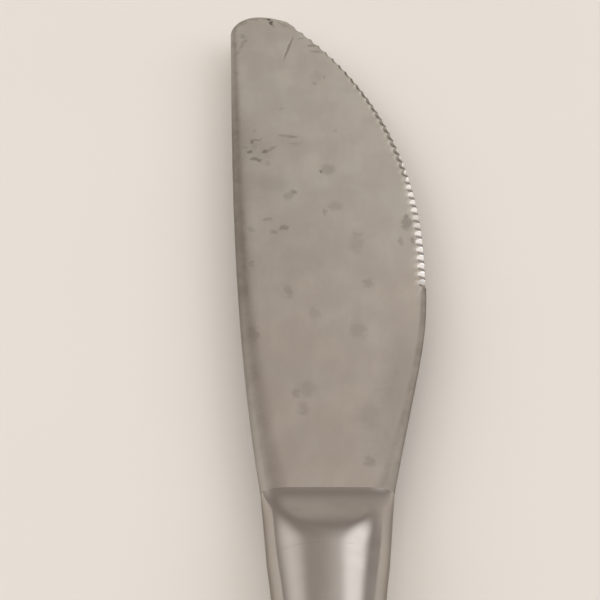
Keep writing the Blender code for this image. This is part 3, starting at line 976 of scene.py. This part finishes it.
def satin_material():
    """Worn satin steel of the blade: mottled, stained, scratched, darkened towards the handle by painted
    shade, and left as stamped round its rim, with painted shade there too.
    """
    material, graph = new_material("worn_satin_steel")
    place = knife_place(graph)
    across, along, height = graph.node("ShaderNodeSeparateXYZ", {0: place}).outputs

    colour = satin_colour(graph, place, along)
    marks, scratches = blade_marks(graph, place, height)
    dark = graph.times(graph.math("POWER", marks, STAIN_POWER), STAIN_SHARE)
    colour = graph.mix(dark, colour, STAINED)
    outwards = rim_place(graph)
    # stamped finish on the rim, with painted shade that darkens it outwards
    rim = stamped_and_shade_share(graph, across, along, outwards)
    colour = graph.mix(rim, colour, stamped_and_shade_colour(graph, place, outwards))

    grain = graph.stretched(place, lengths=(3.0, 0.045, 1.0))
    grain = graph.noise(grain, detail=4.0, roughness=0.6)
    fine = graph.stretched(place, lengths=(0.05, 0.9, 1.0), turn=0.5)
    fine = graph.noise(fine, roughness=0.6)
    roughness = graph.fit(grain, 0.25, 0.75, *SATIN_ROUGHNESS)
    roughness = graph.plus(roughness, graph.times(marks, ROUGHER))
    roughness = graph.plus(roughness, graph.times(rim, ROUGHER))
    relief = graph.plus(grain, graph.times(fine, FINE_SCRATCHES))
    normal = graph.bump(relief, strength=0.12, distance=0.02 * MM)
    waves = graph.noise(place, scale=0.22, detail=2.0)
    normal = graph.bump(waves, strength=0.25, distance=0.12 * MM, normal=normal)
    cuts = graph.times(scratches, -1.0)
    normal = graph.bump(cuts, strength=0.3, distance=0.05 * MM, normal=normal)
    graph.finish(Base_Color=colour, Metallic=1.0, Roughness=roughness, Normal=normal)
    return material


# Finish of the teeth, with a painted highlight in each groove and painted shade round it
TIP_SHADE_FROM, TIP_SHADE_TO = 50.5, 53.5  # millimetres from the shoulder, where painted shade and more roughness take over the grooves by the flat
TIP_SHADE_LATER = 11.0  # millimetres more at the nose
TIP_SHADE_POWER = 3.0  # how far out on the rim that starts
HIGHLIGHT_ALONG, HIGHLIGHT_HALF_ALONG = 0.6, 0.46  # middle and half axis of a groove's painted highlight, in pitches
HIGHLIGHT_OUT, HIGHLIGHT_HALF_OUT = 0.5, 0.62  # the same outwards on the rim, as shares of it
HIGHLIGHT_FADES, HIGHLIGHT_FADED = 0.75, 1.2  # shares of the highlight's half axes
RIDGE_SHADE = 0.85  # how much painted shade and roughness the ridges round the highlights get
SHADED_TEETH = ((-1, 1, 0.5), (7, 9, 0.3))  # where teeth with more painted shade and roughness start and end, in pitches, and how much
TOOTH_BORDER = 0.1  # pitches over which such a tooth passes to the next
DULL_ROUGHER = 0.12


def ground_material():
    """The ground grooves of the teeth: a painted highlight in each groove at the belly, painted shade and
    more roughness on the ridges and in the grooves towards the tip.
    """
    material, graph = new_material("ground_steel")
    place = knife_place(graph)
    along = graph.node("ShaderNodeSeparateXYZ", {0: place}).outputs["Y"]
    outwards = rim_place(graph)

    # painted shade, with more roughness, over the grooves towards the tip
    later = graph.times(graph.math("POWER", outwards, TIP_SHADE_POWER), TIP_SHADE_LATER)
    worn = graph.fit(graph.math("SUBTRACT", along, later), TIP_SHADE_FROM, TIP_SHADE_TO)
    pitches = graph.counted(along, TEETH_START / MM, TOOTH_PITCH / MM)
    past = graph.counted(graph.math("FRACT", pitches), HIGHLIGHT_ALONG, HIGHLIGHT_HALF_ALONG)
    out = graph.counted(outwards, HIGHLIGHT_OUT, HIGHLIGHT_HALF_OUT)
    off_highlight = graph.length(graph.node("ShaderNodeCombineXYZ", {"X": past, "Y": out}).outputs[0])
    # painted shade and roughness round each groove's painted highlight, and on some teeth
    dull = graph.larger(worn, graph.fit(off_highlight, HIGHLIGHT_FADES, HIGHLIGHT_FADED, 0.0, RIDGE_SHADE))
    for start, end, share in SHADED_TEETH:
        after = graph.fit(pitches, start, start + TOOTH_BORDER)
        inside = graph.times(after, graph.fit(pitches, end, end - TOOTH_BORDER))
        dull = graph.larger(dull, graph.times(inside, share))

    grain = graph.noise(graph.stretched(place, lengths=(0.8, 0.06, 0.8)))
    bright = graph.mix(graph.fit(grain, NOISE_LOW, NOISE_HIGH), GROUND_PALE, GROUND_DARK)
    # the painted shade darkens the ground steel
    colour = graph.mix(dull, bright, GROUND_SHADE)
    roughness = graph.fit(grain, NOISE_LOW, NOISE_HIGH, *GROUND_ROUGHNESS)
    roughness = graph.plus(roughness, graph.times(dull, DULL_ROUGHER))
    normal = graph.bump(grain, strength=0.15, distance=0.01 * MM)
    graph.finish(Base_Color=colour, Metallic=1.0, Roughness=roughness, Normal=normal)
    return material


def polished_material():
    """Polished steel that has been handled: hairline scratches and dull smudges."""
    material, graph = new_material("handled_polished_steel")
    place = knife_place(graph)
    smudges = graph.clouds(place, scale=0.18, detail=4.0, roughness=0.6, low=0.42, high=0.68)
    hairs = graph.stretched(place, lengths=(0.04, 3.0, 0.04), turn=0.15)
    hairs = graph.noise(hairs, detail=4.0, roughness=0.65)
    colour = graph.mix(smudges, POLISHED_CLEAN, POLISHED_SMUDGED)
    roughness = graph.fit(smudges, 0.0, 1.0, *POLISHED_ROUGHNESS)
    normal = graph.bump(hairs, strength=0.04, distance=0.01 * MM)
    graph.finish(
        Base_Color=colour, Metallic=1.0, Roughness=roughness, Normal=normal, Specular_Tint=POLISHED_EDGE
    )
    return material


def solder_material():
    """Silver solder, polished with the steel but a little yellower and softer."""
    material, graph = new_material("silver_solder")
    place = knife_place(graph)
    flow = graph.clouds(place, scale=1.4, detail=4.0, roughness=0.6)
    colour = graph.mix(flow, SOLDER_PALE, SOLDER_DARK)
    roughness = graph.fit(flow, 0.0, 1.0, *SOLDER_ROUGHNESS)
    normal = graph.bump(flow, strength=0.04, distance=0.01 * MM)
    graph.finish(
        Base_Color=colour, Metallic=1.0, Roughness=roughness, Normal=normal, Specular_Tint=POLISHED_EDGE
    )
    return material


def cement_material():
    """Set handle cement: grey, gritty and matt."""
    material, graph = new_material("handle_cement")
    place = knife_place(graph)
    grit = graph.noise(place, scale=2.5, detail=6.0, roughness=0.7)
    colour = graph.mix(graph.fit(grit, NOISE_LOW, NOISE_HIGH), CEMENT_PALE, CEMENT_DARK)
    roughness = graph.fit(grit, NOISE_LOW, NOISE_HIGH, *CEMENT_ROUGHNESS)
    normal = graph.bump(grit, strength=0.6, distance=0.1 * MM)
    graph.finish(Base_Color=colour, Roughness=roughness, Normal=normal)
    return material


def floor_material():
    """Plain pale floor, faintly cloudy."""
    material, graph = new_material("pale_floor")
    place = graph.node("ShaderNodeTexCoord").outputs["Object"]
    colour = graph.mix(graph.clouds(place, scale=9.0), FLOOR_PALE, FLOOR_DARK)
    graph.finish(Base_Color=colour, Roughness=FLOOR_ROUGHNESS)
    return material


# Pieces


def add_piece(name, body, replaced, materials):
    """A new piece of the knife that stands for a solid and moves with it."""
    bmesh.ops.remove_doubles(body, verts=body.verts, dist=MERGE)
    bmesh.ops.recalc_face_normals(body, faces=body.faces)
    mesh = bpy.data.meshes.new(name)
    body.to_mesh(mesh)
    body.free()
    mesh.shade_smooth()
    mesh.set_sharp_from_angle(angle=SMOOTH_ANGLE)
    for material in materials:
        mesh.materials.append(material)
    piece = bpy.data.objects.new(name, mesh)
    piece.location = KNIFE_PLACE
    bpy.context.scene.collection.objects.link(piece)
    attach(piece, "root")
    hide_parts(replaced)


def add_pieces():
    """Fine pieces for the solids that show, and better materials for the two that don't."""
    polished = polished_material()
    blade_finishes = [satin_material(), ground_material()]  # in the order of SATIN and GROUND
    add_piece("blade_skin", blade_mesh(), "blade", blade_finishes)
    add_piece("bolster_skin", bolster_mesh(), "bolster", [polished])
    add_piece("handle_upper", shell_mesh(1), "handle_shell_upper", [polished])
    add_piece("handle_lower", shell_mesh(-1), "handle_shell_lower", [polished])
    solder = solder_material()
    add_piece("seam_line", seam_mesh(), "seam_braze", [solder])
    add_piece("mouth_line", mouth_mesh(), "mouth_braze", [solder])
    for node, material in (("tang_braze", solder), ("handle_filling", cement_material())):
        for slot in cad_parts[node].material_slots:
            slot.material = material


# Floor, light and camera


def add_floor():
    mesh = bmesh.new()
    bmesh.ops.create_grid(mesh, x_segments=1, y_segments=1, size=FLOOR_SIZE / 2)
    data = bpy.data.meshes.new("floor")
    mesh.to_mesh(data)
    mesh.free()
    data.materials.append(floor_material())
    floor = bpy.data.objects.new("floor", data)
    floor.location = (0, 0, CAD_BOX[0].z)
    bpy.context.scene.collection.objects.link(floor)


def direction(azimuth, elevation):
    """Unit vector: azimuth in degrees to the right of +Y, elevation above the floor."""
    a = math.radians(azimuth)
    e = math.radians(elevation)
    return Vector((math.sin(a) * math.cos(e), math.cos(a) * math.cos(e), math.sin(e)))


@dataclass
class Softbox:
    """A soft lamp: its place and spread in degrees, seen from the knife, and its brightness."""

    name: str
    azimuth: float
    elevation: float
    width: float
    height: float
    radiance: float


SOFTBOXES = (
    Softbox("softbox_top", 0, 88, 50, 50, 0.3),
    Softbox("softbox_side_right", 84, 35, 40, 50, 1.32),
    Softbox("softbox_side_left", -84, 35, 40, 50, 1.2),
)
SOFTBOX_TINT = (0.88, 0.985, 1.09)


def span(angle):
    """Width of a lamp that spans so many degrees."""
    return 2 * LAMP_DISTANCE * math.tan(math.radians(angle) / 2)


def add_softbox(softbox):
    lamp = bpy.data.lights.new(softbox.name, "AREA")
    lamp.shape = "RECTANGLE"
    lamp.size = span(softbox.width)
    lamp.size_y = span(softbox.height)
    lamp.energy = softbox.radiance * math.pi * lamp.size * lamp.size_y
    lamp.color = SOFTBOX_TINT
    box = bpy.data.objects.new(softbox.name, lamp)
    towards = direction(softbox.azimuth, softbox.elevation)
    box.location = VIEW_TARGET + towards * LAMP_DISTANCE
    box.rotation_mode = "QUATERNION"
    box.rotation_quaternion = towards.to_track_quat("Z", "Y")
    box.visible_camera = False
    bpy.context.scene.collection.objects.link(box)


@dataclass
class Window:
    """A bright patch of the room's walls with soft edges: where each edge starts and where it is full."""

    left: tuple  # degrees to the right of +Y
    right: tuple
    low: tuple  # sine of the elevation
    high: tuple
    colour: tuple


WINDOWS = (
    # Low and dim, ahead and on the right
    Window((-25, 0), (64, 44), (-0.25, -0.05), (0.32, 0.05), (0.655, 0.595, 0.555)),
    # High and bright, on the right
    Window((-6, 32), (58, 46), (0.31, 0.57), (0.95, 0.82), (1.42, 1.40, 1.385)),
    # On the left
    Window((-95, -75), (-20, -52), (-0.06, 0.49), (0.85, 0.60), (0.97, 0.92, 0.885)),
)

# Sine of the elevation and brightness of the walls and ceiling between the windows
WALLS = ((0.0, 0.36), (0.18, 0.37), (0.55, 0.40), (0.72, 0.48), (0.82, 0.50), (0.94, 0.7))
WALL_TINT = (1.0, 0.895, 0.835)


def add_world():
    """A room whose walls are dimmer than its ceiling, with the same windows beyond the tip and the butt."""
    world = bpy.data.worlds.new("studio")
    world.use_nodes = True
    graph = Graph(world.node_tree)
    way = graph.node("ShaderNodeTexCoord").outputs["Generated"]
    across, along, up = graph.node("ShaderNodeSeparateXYZ", {0: way}).outputs

    ramp = graph.node("ShaderNodeValToRGB", {0: up})
    elements = ramp.color_ramp.elements
    while len(elements) < len(WALLS):
        elements.new(1.0)
    for element, (position, level) in zip(elements, WALLS):
        element.position = position
        element.color = (*(level * part for part in WALL_TINT), 1)
    colour = ramp.outputs[0]
    for end in (1.0, -1.0):
        turn = graph.math("ARCTAN2", graph.times(across, end), graph.times(along, end))
        for window in WINDOWS:
            share = graph.times(graph.fit(up, *window.low), graph.fit(up, *window.high))
            for edge in (window.left, window.right):
                start, full = (math.radians(angle) for angle in edge)
                share = graph.times(share, graph.fit(turn, start, full))
            colour = graph.mix(share, colour, (*window.colour, 1))

    shine = graph.node("ShaderNodeBackground", {"Color": colour, "Strength": 1.0})
    output = graph.node("ShaderNodeOutputWorld")
    graph.tree.links.new(shine.outputs[0], output.inputs["Surface"])
    bpy.context.scene.world = world


def add_lights():
    add_world()
    for softbox in SOFTBOXES:
        add_softbox(softbox)


def add_camera():
    lens = bpy.data.cameras.new("camera")
    lens.sensor_width = SENSOR
    lens.lens = LENS
    lens.clip_start = CLIP_START
    camera = bpy.data.objects.new("camera", lens)
    camera.location = VIEW_TARGET + VIEW_BACK * VIEW_DISTANCE
    camera.rotation_mode = "QUATERNION"
    camera.rotation_quaternion = VIEW_BACK.to_track_quat("Z", "Y")
    bpy.context.scene.collection.objects.link(camera)
    bpy.context.scene.camera = camera


add_pieces()
add_floor()
add_lights()
add_camera()
bpy.context.scene.view_settings.view_transform = "Standard"
